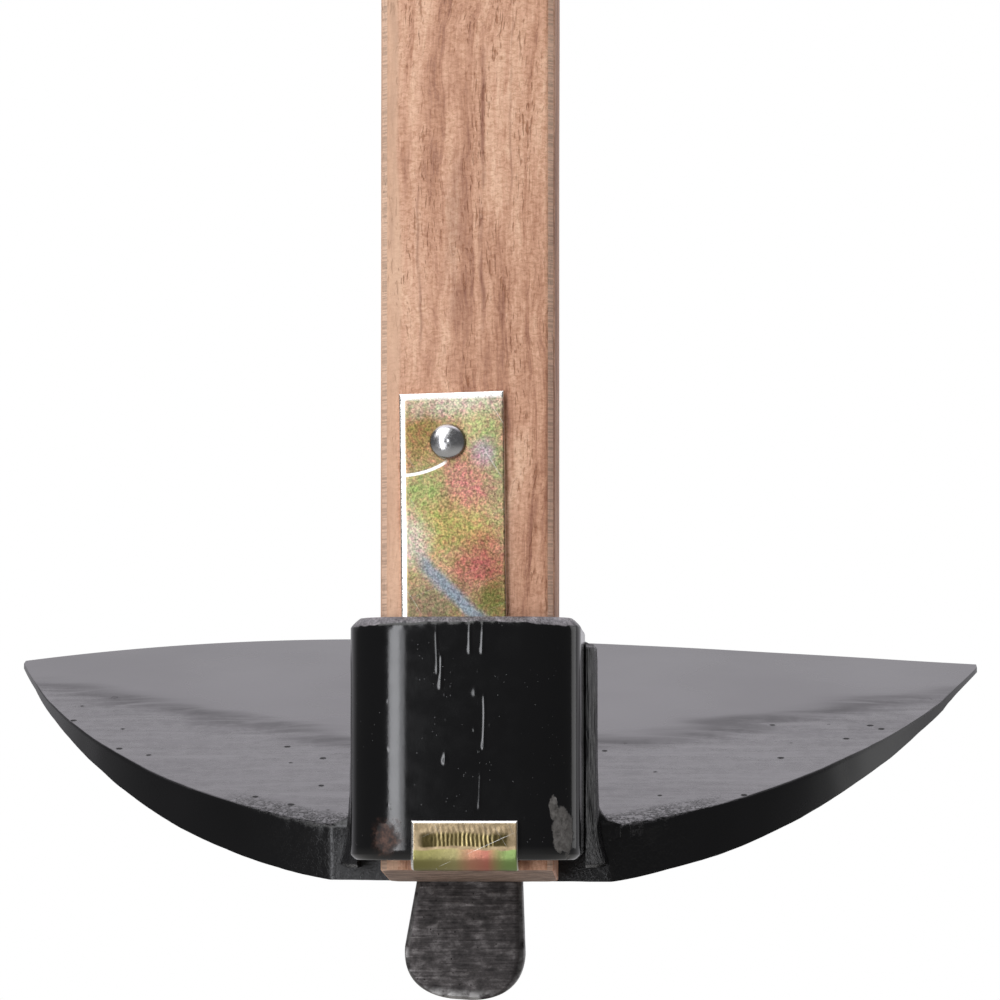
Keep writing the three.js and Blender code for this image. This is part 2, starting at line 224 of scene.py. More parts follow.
class Finish:
    """A node material around one Principled shader. Coordinates are millimetres."""

    def __init__(self, name, **constants):
        self.material = bpy.data.materials.new(name)
        self.material.use_nodes = True
        self.tree = self.material.node_tree
        self.shader = self.tree.nodes["Principled BSDF"]
        for socket, value in constants.items():
            self.shader.inputs[socket.replace("_", " ")].default_value = value
        self.place = self.node("ShaderNodeTexCoord", {}, "Object")
        self.at = self.scaled((1000, 1000, 1000))

    def node(self, kind, inputs, output=0, **settings):
        return add_node(self.tree, kind, inputs, output, **settings)

    def link(self, output, socket):
        self.tree.links.new(output, self.shader.inputs[socket])

    def scaled(self, factors, source=None):
        inputs = {0: source or self.place, 1: factors}
        return self.node("ShaderNodeVectorMath", inputs, operation="MULTIPLY")

    def shifted(self, vector, offset):
        return self.node("ShaderNodeVectorMath", {0: vector, 1: offset}, operation="ADD")

    def math(self, operation, a, b=0.0):
        return self.node("ShaderNodeMath", {0: a, 1: b}, operation=operation)

    def times(self, a, b):
        return self.math("MULTIPLY", a, b)

    def plus(self, a, b):
        return self.math("ADD", a, b)

    def minus(self, a, b):
        return self.math("SUBTRACT", a, b)

    def most(self, a, b):
        return self.math("MAXIMUM", a, b)

    def size(self, a):
        return self.math("ABSOLUTE", a)

    def noise(self, scale, detail=3.0, roughness=0.55, distortion=0.0, at=None):
        """Noise of 0 to 1; `scale` is cycles per millimetre, as a number or for X, Y and Z."""
        if isinstance(scale, (int, float)):
            scale = (scale,) * 3
        vector = self.scaled(scale, at or self.at)
        inputs = {"Vector": vector, "Scale": 1.0, "Detail": detail, "Roughness": roughness,
                  "Distortion": distortion}
        return self.node("ShaderNodeTexNoise", inputs, "Fac")

    def cells(self, scale):
        vector = self.scaled((scale,) * 3, self.at)
        return self.node("ShaderNodeTexVoronoi", {"Vector": vector, "Scale": 1.0}, "Distance")

    def step(self, value, low, high, start=0.0, end=1.0):
        inputs = {"Value": value, "From Min": low, "From Max": high, "To Min": start, "To Max": end}
        return self.node("ShaderNodeMapRange", inputs, interpolation_type="SMOOTHSTEP")

    def ramp(self, value, stops):
        output = self.node("ShaderNodeValToRGB", {"Fac": value}, "Color")
        ramp = output.node.color_ramp
        while len(ramp.elements) < len(stops):
            ramp.elements.new(0.5)
        for element, (position, colour) in zip(ramp.elements, stops):
            element.position = position
            element.color = (*colour, 1.0)
        return output

    def mix(self, factor, a, b, blend="MIX"):
        return add_mix(self.tree, factor, a, b, blend)

    def axis(self, name, vector=None):
        return self.node("ShaderNodeSeparateXYZ", {0: vector or self.at}, name)

    def read(self, name):
        return self.node("ShaderNodeAttribute", {}, "Fac", attribute_name=name)

    def spot(self, centre, radii, ragged=0.5, size=0.5, soft=0.04):
        """1 inside a ragged patch around a point, 0 outside."""
        offset = self.shifted(self.at, [-c for c in centre])
        scaled = self.scaled([1 / r for r in radii], offset)
        distance = self.node("ShaderNodeVectorMath", {0: scaled}, "Value", operation="LENGTH")
        edge = self.math("MULTIPLY_ADD", self.noise(size, 4.0, 0.65), 2 * ragged)
        edge.node.inputs[2].default_value = -ragged
        return self.step(self.plus(distance, edge), 1 + soft, 1 - soft)

    def bump(self, height, distance, under=None):
        """Relief of `distance` millimetres where the height goes from 0 to 1."""
        inputs = {"Height": height, "Distance": distance * MM, "Strength": 1.0}
        if under:
            inputs["Normal"] = under
        return self.node("ShaderNodeBump", inputs, "Normal")

    def turned(self, degrees):
        """The coordinates turned about the Y axis, for marks that run aslant."""
        rotation = (0, math.radians(degrees), 0)
        return self.node("ShaderNodeMapping", {"Vector": self.at, "Rotation": rotation})

    def arc_mark(self, centre, radius, width):
        """A curved scratch: the lower part of a circle in the XZ plane, fading towards both ends."""
        offset = self.shifted(self.at, (-centre[0], 0, -centre[1]))
        flat = self.scaled((1, 0, 1), offset)
        distance = self.node("ShaderNodeVectorMath", {0: flat}, "Value", operation="LENGTH")
        off = self.size(self.minus(distance, radius))
        line = self.step(off, width, width * 0.4)
        side = self.axis("X", offset)
        ends = self.times(self.step(side, 0.5, 1.5), self.step(side, 10.0, 8.5))
        below = self.step(self.axis("Z", offset), 0.0, -1.0)
        return self.times(self.times(line, below), ends)


# ------------------------------------------------------------------ finishes


def black_lacquer(name):
    """Thick glossy black paint with dust in it, worn where `wear_and_highlight` is set, chipped and rusty in spots."""
    f = Finish(name, IOR=1.5)
    wear_and_highlight = f.step(f.plus(f.read("wear_and_highlight"), f.times(f.noise(0.6, 4), 0.5)), 0.62, 0.92)
    chip = f.spot((19.4, strap_low.y + 4, BASE + 5.6), (1.9, 40, 4.6), 0.7, 0.4, 0.08)
    chip_high = f.spot((17.6, strap_low.y + 4, BASE + 10.4), (0.9, 40, 2.2), 0.5, 0.6, 0.08)
    chip = f.most(chip, chip_high)
    rust = f.spot((-15.6, strap_low.y + 4, BASE + 4.6), (2.5, 40, 3.2), 0.9, 0.35, 0.5)
    scuffs = f.step(f.noise((1.4, 1.4, 0.5), 5, 0.7), 0.66, 0.74)
    dust = f.step(f.cells(0.85), 0.11, 0.05)
    dust = f.times(dust, f.step(f.noise(0.12, 2), 0.48, 0.6))
    black = f.mix(f.noise(0.05, 3), (0.0035, 0.0035, 0.0037), (0.007, 0.007, 0.0074))
    colour = f.mix(f.times(scuffs, 0.2), black, (0.04, 0.04, 0.043))
    colour = f.mix(f.times(dust, 0.2), colour, (0.2, 0.2, 0.2))
    strokes = f.plus(f.times(f.noise((3.0, 3.0, 0.25), 3), 0.5),
                     f.times(f.noise(0.35, 5, 0.7), 0.5))
    rubbed = f.ramp(strokes, ((0.4, (0.03, 0.028, 0.03)), (0.52, (0.16, 0.15, 0.157)),
                              (0.64, (0.36, 0.34, 0.35))))
    colour = f.mix(wear_and_highlight, colour, rubbed)
    bare = f.ramp(f.noise(0.8, 6, 0.75), ((0.36, (0.05, 0.046, 0.042)), (0.5, (0.115, 0.108, 0.1)),
                                         (0.66, (0.2, 0.19, 0.18))))
    colour = f.mix(chip, colour, bare)
    brown = f.ramp(f.noise(0.9, 6, 0.75), ((0.36, (0.008, 0.006, 0.006)), (0.5, (0.05, 0.024, 0.017)),
                                          (0.66, (0.15, 0.075, 0.052))))
    colour = f.mix(f.times(rust, 0.85), colour, brown)
    f.link(colour, "Base Color")
    rough = f.step(f.noise(0.25, 4), 0.3, 0.7, 0.1, 0.14)
    rough = f.plus(rough, f.times(scuffs, 0.12))
    rough = f.most(rough, f.times(wear_and_highlight, 0.42))
    rough = f.most(rough, f.times(f.most(chip, rust), 0.6))
    f.link(rough, "Roughness")
    skin = f.bump(f.noise(0.35, 4, 0.6), 0.012)
    skin = f.bump(dust, 0.02, skin)
    skin = f.bump(f.minus(1.0, chip), 0.08, skin)
    f.link(skin, "Normal")
    return f.material


def forged_lacquer(name):
    """Satin black on steel: smooth where ground, forging scale and pits where `forged` is set."""
    f = Finish(name, IOR=1.5)
    forged = f.read("forged")
    streaks = f.noise((0.035, 0.3, 0.3), 6, 0.62, 0.6)
    scale = f.noise(0.32, 7, 0.68)
    pits = f.times(f.step(f.cells(0.14), 0.12, 0.08), forged)
    black = f.mix(f.noise(0.04, 4), (0.003, 0.003, 0.0032), (0.0065, 0.0063, 0.007))
    worn = f.times(f.step(streaks, 0.5, 0.66), f.times(forged, 0.5))
    colour = f.mix(worn, black, (0.055, 0.052, 0.056))
    colour = f.mix(pits, colour, (0.003, 0.003, 0.003))
    f.link(colour, "Base Color")
    rough = f.step(f.noise(0.02, 3), 0.3, 0.7, 0.24, 0.3)
    patchy = f.step(f.plus(f.times(streaks, 0.6), f.times(scale, 0.4)),
                    0.38, 0.62, -0.08, 0.08)
    rough = f.plus(rough, f.times(patchy, forged))
    dull = f.times(f.read("dull"), f.step(streaks, 0.3, 0.6, 0.05, 0.2))
    rough = f.plus(rough, dull)
    f.link(f.most(rough, f.times(pits, 0.85)), "Roughness")
    skin = f.bump(f.noise(0.06, 3), 0.012)
    skin = f.bump(f.times(streaks, forged), 0.2, skin)
    skin = f.bump(f.times(scale, forged), 0.045, skin)
    crust = f.times(f.read("crust"), f.step(f.noise(0.8, 4, 0.7), 0.46, 0.58))
    skin = f.bump(crust, 0.5, skin)
    skin = f.bump(f.minus(1.0, pits), 0.2, skin)
    f.link(skin, "Normal")
    return f.material


def weld_lacquer(name):
    f = Finish(name, IOR=1.5)
    colour = f.mix(f.noise(0.5, 5, 0.7), (0.004, 0.004, 0.0045), (0.02, 0.02, 0.021))
    f.link(colour, "Base Color")
    f.link(f.step(f.noise(0.8, 4), 0.3, 0.7, 0.14, 0.28), "Roughness")
    skin = f.bump(f.noise((0.6, 0.6, 0.03), 3, 0.6), 0.45)
    skin = f.bump(f.noise(0.5, 4), 0.04, skin)
    f.link(skin, "Normal")
    return f.material


# Soft patches in the plating: (X, rise, half width, half height, colour)
CHROMATE_PATCHES = (
    (-10.3, 86, 5, 8, (0.29, 0.19, 0.075)), (-1.3, 92.5, 11, 3.2, (0.60, 0.54, 0.44)),
    (2.7, 87, 3, 3.4, (0.46, 0.47, 0.22)), (5.3, 78, 2.4, 7, (0.30, 0.36, 0.17)),
    (3.3, 81.7, 2.2, 2.6, (0.46, 0.37, 0.42)), (-0.6, 74.5, 5.4, 5.6, (0.58, 0.25, 0.22)),
    (-8.3, 74, 4.4, 4, (0.31, 0.37, 0.14)), (-3.5, 67, 7.5, 4.4, (0.44, 0.39, 0.13)),
    (3.1, 58.5, 5, 6, (0.38, 0.11, 0.10)), (-11.3, 64, 3.4, 5, (0.58, 0.52, 0.44)),
    (-7.3, 51.5, 7, 4.4, (0.22, 0.18, 0.11)), (4.9, 52, 3.4, 4, (0.16, 0.17, 0.05)),
)


def chromate(name):
    """Yellow zinc plating: rainbow blotches over bright metal, grainy, scratched, blue in one band."""
    f = Finish(name, Metallic=1.0)
    grain = f.noise(2.2, 3, 0.75)
    cloud = f.step(f.noise((0.11, 0.11, 0.08), 3), 0.35, 0.65)
    hues = f.mix(cloud, (0.40, 0.29, 0.13), (0.55, 0.40, 0.24))
    for cx, rise, wide, tall, colour in CHROMATE_PATCHES:
        patch = f.spot((cx, strip_low.y, BASE + rise), (wide, 400, tall), 0.8, 0.22, 0.75)
        hues = f.mix(f.times(patch, 0.85), hues, colour)
    tint = f.ramp(f.noise(0.9, 4, 0.7), ((0.35, (0.80, 1.04, 0.84)), (0.5, (0.95, 0.95, 0.95)),
                                         (0.65, (1.15, 0.86, 1.02))))
    hues = f.mix(1.0, hues, tint, "MULTIPLY")
    x, z = f.axis("X"), f.axis("Z")
    slanted = f.plus(z, f.times(x, 0.95))
    slanted = f.plus(slanted, f.times(f.noise(0.16, 4), 4.0))
    off_band = f.size(f.minus(slanted, BASE + 52.8))
    band = f.times(f.step(off_band, 3.2, 0.6), f.step(x, -11, -7.5))
    hues = f.mix(f.times(band, 0.75), hues, (0.20, 0.28, 0.37))
    speck = f.ramp(grain, ((0.32, (0.42, 0.42, 0.42)), (0.5, (0.9, 0.9, 0.9)), (0.66, (1.7, 1.66, 1.6))))
    hues = f.mix(1.0, hues, speck, "MULTIPLY")
    on_hook = f.step(f.axis("Y"), strip_low.y + 4, strip_low.y + 3.5)
    low_hook = f.ramp(f.step(x, -9, 9), (
        (0.0, (0.26, 0.24, 0.09)), (0.35, (0.36, 0.32, 0.15)), (0.6, (0.50, 0.25, 0.16)),
        (0.85, (0.50, 0.19, 0.14)), (1.0, (0.24, 0.34, 0.12))))
    height = f.plus(z, f.times(f.noise((0.3, 0.3, 0.6), 3), 1.4))
    crimp = f.times(f.step(height, BASE + 3.3, BASE + 3.7), f.step(height, BASE + 6.6, BASE + 5.6))
    crimp = f.times(crimp, f.step(f.size(x), 9.6, 8.0))
    ticks = f.math("SINE", f.times(f.plus(x, f.times(f.noise(0.25, 2), 0.9)), 7.5))
    ticks = f.times(f.step(ticks, -0.1, 0.7), f.step(f.size(x), 6.5, 5.0))
    ticks = f.times(ticks, f.step(f.noise((0.25, 0.25, 0.05), 2), 0.3, 0.6, 0.35, 0.9))
    dark = f.mix(ticks, (0.07, 0.055, 0.022), (0.62, 0.5, 0.24))
    flat = f.mix(f.noise((0.4, 0.4, 0.9), 4, 0.7), (0.16, 0.11, 0.05), (0.56, 0.44, 0.28))
    upper = f.mix(crimp, flat, dark)
    hook = f.mix(f.step(height, BASE + 3.0, BASE + 2.6), upper, low_hook)
    hues = f.mix(on_hook, hues, hook)

    fine = f.noise((0.02, 0.5, 5.0), 2, at=f.turned(24))
    fine_b = f.noise((0.03, 0.5, 4.0), 2, at=f.turned(-58))
    hair = f.most(f.step(fine, 0.71, 0.74), f.step(fine_b, 0.72, 0.75))
    mark = f.arc_mark((-13.6, BASE + 94.9), 17.7, 0.42)
    bright = f.most(f.times(hair, 0.55), mark)
    # Painted highlight: the strip's rolled and cut edges are painted near white, standing in for the light
    # that glints off them.
    edge = f.read("wear_and_highlight")
    colour = f.mix(f.most(bright, edge), hues, (1.0, 0.99, 0.95))
    f.link(colour, "Base Color")
    rough = f.step(grain, 0.3, 0.7, 0.34, 0.5)
    f.link(f.minus(rough, f.times(edge, 0.15)), "Roughness")
    skin = f.bump(grain, 0.03)
    skin = f.bump(f.noise(0.35, 4), 0.06, skin)
    skin = f.bump(f.minus(1.0, bright), 0.02, skin)
    f.link(skin, "Normal")
    return f.material


def nail_steel(name):
    f = Finish(name, Metallic=1.0)
    f.link(f.mix(f.noise(0.9, 4), (0.50, 0.50, 0.50), (0.66, 0.66, 0.67)), "Base Color")
    f.link(f.step(f.noise(1.5, 4), 0.3, 0.7, 0.16, 0.3), "Roughness")
    f.link(f.bump(f.noise(1.2, 4), 0.02), "Normal")
    return f.material


def raw_steel(name):
    """Hot rolled bar: dark mill scale with fine marks across it, rubbed bright on its edges."""
    f = Finish(name, Metallic=0.85)
    lines = f.noise((0.12, 0.12, 2.6), 4, 0.6)
    mottle = f.noise((0.28, 0.28, 0.45), 6, 0.7)
    tone = f.plus(f.times(lines, 0.32), f.times(mottle, 0.7))
    colour = f.ramp(tone, ((0.36, (0.022, 0.02, 0.02)), (0.52, (0.06, 0.054, 0.053)),
                           (0.66, (0.15, 0.138, 0.135))))
    colour = f.mix(f.step(f.cells(0.5), 0.12, 0.06), colour, (0.02, 0.018, 0.017))
    rub = f.times(f.read("wear_and_highlight"), f.step(f.noise(0.5, 4), 0.3, 0.6))
    f.link(f.mix(f.times(rub, 0.8), colour, (0.46, 0.45, 0.44)), "Base Color")
    f.link(f.step(tone, 0.4, 0.65, 0.5, 0.36), "Roughness")
    skin = f.bump(lines, 0.05)
    skin = f.bump(mottle, 0.1, skin)
    f.link(skin, "Normal")
    return f.material


# Dark figure lines along the oak's front: (X, lowest rise, highest rise, half width, depth)
OAK_STREAKS = (
    (3.3, 104, 172, 0.7, 0.75), (-15.0, 118, 190, 1.1, 0.6), (-1.6, 104, 146, 3.4, 0.4),
    (-9.5, 100, 140, 0.5, 0.5), (9.0, 128, 175, 0.4, 0.4),
)


def oak(name, sawn=0.0):
    """Planed oak: a wavy figure along the handle and short dark pores; `sawn` adds saw marks."""
    f = Finish(name, IOR=1.45)
    drift = f.noise((0.02, 0.02, 0.014), 4, 0.55)
    small = f.noise((0.12, 0.12, 0.07), 3, 0.5)
    sway = f.plus(f.times(f.minus(drift, 0.5), 13.0),
                  f.times(f.minus(small, 0.5), 1.5))
    bent = f.node("ShaderNodeCombineXYZ", {"X": sway, "Y": sway, "Z": 0.0})
    grain = f.node("ShaderNodeVectorMath", {0: f.at, 1: bent}, operation="ADD")
    years = f.plus(f.times(f.axis("X", grain), 0.17),
                   f.times(f.noise((0.1, 0.1, 0.006), 2, at=grain), 1.6))
    year = f.math("FRACT", years)
    late = f.times(f.step(year, 0.45, 0.99), f.step(f.noise((0.08, 0.08, 0.01), 2), 0.35, 0.62))
    fibre = f.noise((1.8, 1.8, 0.12), 4, 0.65, 0.15, at=grain)
    patch = f.noise((0.11, 0.11, 0.018), 4, 0.6, 0.5, at=grain)
    tone = f.plus(f.times(patch, 0.66), f.times(fibre, 0.34))
    tone = f.minus(tone, f.times(late, 0.075))
    colour = f.ramp(tone, (
        (0.35, (0.37, 0.165, 0.10)), (0.44, (0.59, 0.305, 0.19)), (0.52, (0.74, 0.42, 0.275)),
        (0.62, (0.88, 0.56, 0.38)),
    ))
    ripple = f.noise((0.9, 0.9, 1.5), 4, 0.7, 0.8)
    shade = f.ramp(ripple, ((0.36, (0.80, 0.72, 0.66)), (0.5, (1.0, 0.99, 0.98)),
                            (0.64, (1.14, 1.18, 1.22))))
    colour = f.mix(1.0, colour, shade, "MULTIPLY")
    pore_at = f.noise((2.4, 2.4, 0.3), 2, 0.5, 0.3, at=grain)
    zones = f.step(f.noise((0.2, 0.2, 0.03), 3, at=grain), 0.46, 0.6)
    pores = f.times(f.step(pore_at, 0.58, 0.67), f.plus(f.times(zones, 0.75), 0.25))
    colour = f.mix(f.times(pores, 0.65), colour, (0.34, 0.125, 0.05))
    level = f.axis("Z")
    broken = f.step(f.noise((0.5, 0.5, 0.12), 3), 0.3, 0.6)
    bend = f.plus(f.axis("X"), f.times(f.noise((0.02, 0.02, 0.035), 4, 0.6), 5.0))
    for cx, low_rise, high_rise, wide, depth in OAK_STREAKS:
        off = f.size(f.minus(bend, cx + 2.5))
        reach = f.times(f.step(level, BASE + low_rise, BASE + low_rise + 8),
                        f.step(level, BASE + high_rise, BASE + high_rise - 8))
        streak = f.times(f.step(off, wide, wide * 0.1), reach)
        streak = f.times(streak, f.times(broken, depth))
        colour = f.mix(streak, colour, (0.26, 0.095, 0.055))
    edge_x = f.plus(f.axis("X"), f.times(f.noise((0.02, 0.02, 0.02), 3), 4.0))
    colour = f.mix(f.step(edge_x, -11.2, -12.2, 0.0, 0.6), colour, (0.80, 0.52, 0.35))
    skin = f.bump(f.minus(1.0, pores), 0.1)
    skin = f.bump(fibre, 0.07, skin)
    skin = f.bump(ripple, 0.05, skin)
    if sawn:
        saw = f.noise((0.05, 0.05, 2.6), 3, 0.6)
        dark = f.step(saw, 0.42, 0.6, 1.0, 0.7)
        shade = f.node("ShaderNodeCombineColor", {"Red": dark, "Green": dark, "Blue": dark})
        pale = f.mix(0.5, colour, (0.96, 0.70, 0.54))
        colour = f.mix(sawn, colour, f.mix(1.0, pale, shade, "MULTIPLY"))
        skin = f.bump(saw, 0.22 * sawn, skin)
    f.link(colour, "Base Color")
    f.link(f.step(fibre, 0.35, 0.65, 0.48, 0.62), "Roughness")
    f.link(skin, "Normal")
    return f.material


def oak_end(name):
    """End grain: darker, with curved growth rings and open pores."""
    f = Finish(name, IOR=1.45)
    offset = f.shifted(f.at, (32, -46, 0))
    flat = f.scaled((1, 1, 0), offset)
    radius = f.node("ShaderNodeVectorMath", {0: flat}, "Value", operation="LENGTH")
    waver = f.plus(radius, f.times(f.noise(0.12, 3), 2.0))
    ring = f.math("FRACT", f.times(waver, 0.42))
    colour = f.ramp(ring, ((0.0, (0.3, 0.19, 0.14)), (0.35, (0.45, 0.31, 0.24)),
                           (0.9, (0.55, 0.39, 0.31)), (1.0, (0.3, 0.19, 0.14))))
    saw = f.noise((0.25, 2.0, 0.3), 4, 0.6)
    colour = f.mix(f.step(saw, 0.4, 0.65), colour, (0.13, 0.09, 0.07))
    pores = f.step(f.cells(1.6), 0.28, 0.18)
    f.link(f.mix(f.times(pores, 0.5), colour, (0.08, 0.045, 0.03)), "Base Color")
    f.shader.inputs["Roughness"].default_value = 0.75
    f.link(f.bump(saw, 0.2), "Normal")
    return f.material


def pale_floor(name):
    f = Finish(name, Roughness=0.8)
    f.link(f.mix(f.noise(0.002, 3), (0.80, 0.80, 0.80), (0.83, 0.83, 0.83)), "Base Color")
    return f.material


# ------------------------------------------------------------------ blade

HALF_WIDTH = (blade_high.x - blade_low.x) / 2
BLADE_MIDDLE = (blade_high.x + blade_low.x) / 2
WALL_FRONT = blade_low.y
WALL_THICKNESS = 6
WALL_BACK = WALL_FRONT + WALL_THICKNESS
WALL_HALF = 25.4
WALL_TOP = 45.4
WALL_CORNER = 4
WALL_FLARE = 5
ROLL = 0.3
SKEW = 0.04
WARP = 0.015
RIM_CENTRE = 218.3
RIM_HALF_LENGTH = 207
RIM_HALF_SPAN = 125.5
EDGE_REACH = 159.5
EDGE_SAG = 25
ROOT_RISE = 7.2
FACE_CLIMB = 43.9
FACE_CROWN = 2.5
RIM_THICKNESS = 11.6
TIP_THICKNESS = 1.3
EDGE_THICKNESS = 1.4
THINNING = 1.3
RIM_ROUND = 0.4
BORDER_REACH = 50
BORDER_SPREAD = 63
LEDGE = 0.8
COVE_HEIGHT = 9
COVE_DEPTH = 7
BLADE_COLUMNS = 300
FACE_ROWS = 110
UNDER_ROWS = 50
BAND_ROWS = 12


def lopsided(x):
    return x * (1 - (x / HALF_WIDTH) ** 2)


def rim_reach(x):
    curve = RIM_CENTRE - RIM_HALF_LENGTH * np.sqrt(1 - (x / RIM_HALF_SPAN) ** 2)
    return np.maximum(WALL_FRONT + 0.05, curve)


def edge_reach(x):
    return EDGE_REACH - EDGE_SAG * (x / HALF_WIDTH) ** 2 - SKEW * lopsided(x)


def face_rise(y):
    t = (y - WALL_FRONT) / (EDGE_REACH - WALL_FRONT)
    return ROOT_RISE + FACE_CLIMB * t + 4 * FACE_CROWN * t * (1 - t)


def blade_thickness(x, across):
    swell = (1 - (x / HALF_WIDTH) ** 4) ** 2
    rim = TIP_THICKNESS + (RIM_THICKNESS - TIP_THICKNESS) * swell
    return EDGE_THICKNESS + (rim - EDGE_THICKNESS) * (1 - across) ** THINNING


def beyond_border(x, y):
    """Distance past the line where the ground part of the blade starts; it runs out to the tips."""
    border = BORDER_REACH + BORDER_SPREAD * np.sqrt((x / HALF_WIDTH) ** 2 + 0.01)
    flat = np.stack([x, y, 0 * x], axis=-1)
    return y - border - 5 * wobble(flat, (40, 14, 10), 3.1)


def forged_zone(past):
    """1 on the rough root of the blade, 0 on the ground part; `past` is beyond_border's distance."""
    return smooth(5, -6, past)


def blade_section(x):
    """One closed ring across the blade at x: over the face, round the edge, back below, up the rim."""
    u = x / HALF_WIDTH
    rim, edge = float(rim_reach(x)), float(edge_reach(x))
    slope = (float(rim_reach(x + 0.5)) - float(rim_reach(x - 0.5))) if abs(u) < 0.98 else 2.6
    square = 1 / math.hypot(1, slope)
    near_socket = smooth(48, 36, abs(x)) * smooth(27, 31, abs(x))
    nick = wobble([(x, 0, 0)], 3.0, 7.7, 4)[0]
    chip = near_socket * 0.9 * max(nick, -0.4)
    face = np.linspace(0, 1, FACE_ROWS) ** 1.35
    below = np.linspace(1, 0, UNDER_ROWS)
    over_y = lerp(rim + chip, edge, face)
    over_z = face_rise(over_y)
    inside = np.clip((over_y - rim - chip) * square / RIM_ROUND, 0, 1)
    round_by = RIM_ROUND * min(1, blade_thickness(x, 0) / 6)
    over_z = over_z - round_by * quarter(1 - inside)
    over_z = over_z - near_socket * np.abs(nick) * 0.7 * (1 - inside)
    under_y = lerp(rim, edge, below)
    under_z = face_rise(under_y) - blade_thickness(x, below)
    inner = np.clip((under_y - rim) * square / RIM_ROUND, 0, 1)
    under_z = under_z + 0.8 * round_by * quarter(1 - inner)
    band = np.linspace(0, 1, BAND_ROWS + 2)[1:-1]
    band_y = rim + chip * smooth(0.55, 1.0, band)
    band_z = lerp(under_z[-1], over_z[0], band)
    y = np.concatenate([over_y, under_y, band_y])
    z = np.concatenate([over_z, under_z, band_z])
    across = np.concatenate([face, below, np.zeros(BAND_ROWS)])
    sink = x * tan(ROLL) + WARP * lopsided(x) * across
    return np.stack([np.full(len(y), x), y, z - sink], axis=1)


def build_blade(material):
    columns = np.linspace(-HALF_WIDTH, HALF_WIDTH, BLADE_COLUMNS)
    rings = np.array([blade_section(float(x)) for x in columns])
    flat = rings.reshape(-1, 3)
    forged = forged_zone(beyond_border(flat[:, 0], flat[:, 1]))
    x, y = flat[:, 0], flat[:, 1]
    clear_of_tip = smooth(HALF_WIDTH, HALF_WIDTH - 12, np.abs(x))
    hammered = wobble(flat, (26, 16, 16), 1.7, 2) * 0.2 + wobble(flat, (7, 5, 5), 9.2, 3) * 0.05
    flat[:, 2] += (hammered * forged - LEDGE * forged) * clear_of_tip
    flat[:, 2] += 0.12 * wobble(flat, (60, 40, 40), 5.5, 2)
    behind_wall = np.abs(x) < WALL_HALF + WALL_FLARE
    sway = 0.12 * wobble(flat, (22, 14, 14), 4.4, 2) * ~behind_wall * clear_of_tip
    flat[:, 1] += sway * smooth(0.5, 0.0, (y - rim_reach(x)) / 12)
    flat[:, 0] += BLADE_MIDDLE
    flat[:, 2] += BASE
    blade = make_mesh("blade_forging", *loft(flat.reshape(rings.shape)), [material])
    cut(blade, make_mesh("wall_tool", *back_wall(), [material]), "UNION")
    co = np.empty(len(blade.data.vertices) * 3)
    blade.data.vertices.foreach_get("co", co)
    co = co.reshape(-1, 3) / MM
    x = np.clip(co[:, 0] - BLADE_MIDDLE, -HALF_WIDTH, HALF_WIDTH)
    from_rim = co[:, 1] - rim_reach(x)
    on_face = smooth(0.1, 0.7, from_rim)
    past = beyond_border(x, co[:, 1])
    give(blade, "forged", forged_zone(past) * on_face)
    give(blade, "dull", np.exp(-((past / 5) ** 2)) * on_face)
    give(blade, "crust", smooth(56, 36, np.abs(x)) * smooth(9, 1, from_rim) * (0.04 + 0.96 * on_face))
    return blade


def back_wall():
    """The upturned wall: flaring at its sides and coved at its back where it grows out of the plate."""
    foot = ROOT_RISE - 3
    heights = np.concatenate([
        np.linspace(foot, ROOT_RISE + COVE_HEIGHT, 22),
        np.linspace(ROOT_RISE + COVE_HEIGHT + 1, WALL_TOP - WALL_CORNER, 26),
        WALL_TOP - WALL_CORNER + WALL_CORNER * np.sin(np.linspace(0.1, 1.0, 14) * math.pi / 2),
    ])
    rings = []
    for h in heights:
        climb = np.clip((ROOT_RISE + WALL_FLARE - h) / WALL_FLARE, 0, 1)
        half = WALL_HALF + WALL_FLARE * quarter(climb)
        up = max(h - (WALL_TOP - WALL_CORNER), 0) / WALL_CORNER
        half -= WALL_CORNER * quarter(min(up, 1))
        cove = np.clip((ROOT_RISE + COVE_HEIGHT - h) / COVE_DEPTH, 0, 1)
        back = WALL_BACK + COVE_DEPTH * quarter(cove)
        trim = 0.9 * smooth(WALL_TOP - 1.2, WALL_TOP, h)
        ring = np.array(rounded_box_ring(-half, half, WALL_FRONT + trim, back - trim, 1.0, h))
        lumps = wobble(ring, (14, 14, 9), 2.3, 2)[:, None] * (0, 0.18, 0)
        lumps[ring[:, 1] < WALL_FRONT + 2] = 0
        rings.append(ring + lumps + (0, 0, BASE))
    return loft(rings)


# ------------------------------------------------------------------ socket strap

STRAP_WALL = 5.1
STRAP_CORNER = 10
STRAP_CROWN = 0.5
ROLL_START = 11
ROLL_END = 15.1
ROLL_LEAN = 10.5
FACE_LEAN = 1.2
STRAP_TOP = strap_high.z - strap_low.z
STRAP_MIDDLE = (strap_low.x + strap_high.x) / 2
STRAP_HALF = (strap_high.x - strap_low.x) / 2
STRAP_FRONT = strap_low.y + STRAP_CROWN

# Runs and drips in the paint: (X, top rise, bottom rise, width, height)
PAINT_RUNS = (
    (-4.4, 41, 34, 0.5, 0.06), (-5.2, 46, 37, 0.4, 0.035), (1.5, 47.5, 41, 0.5, 0.06),
    (4.0, 47.5, 41, 0.5, 0.065), (4.2, 33, 22, 0.42, 0.07), (2.6, 34.5, 32.5, 0.8, 0.06),
    (-3.6, 21.5, 19, 0.6, 0.08), (2.4, 26.5, 25.4, 0.5, 0.05), (3.4, 18, 10, 0.4, 0.03),
)


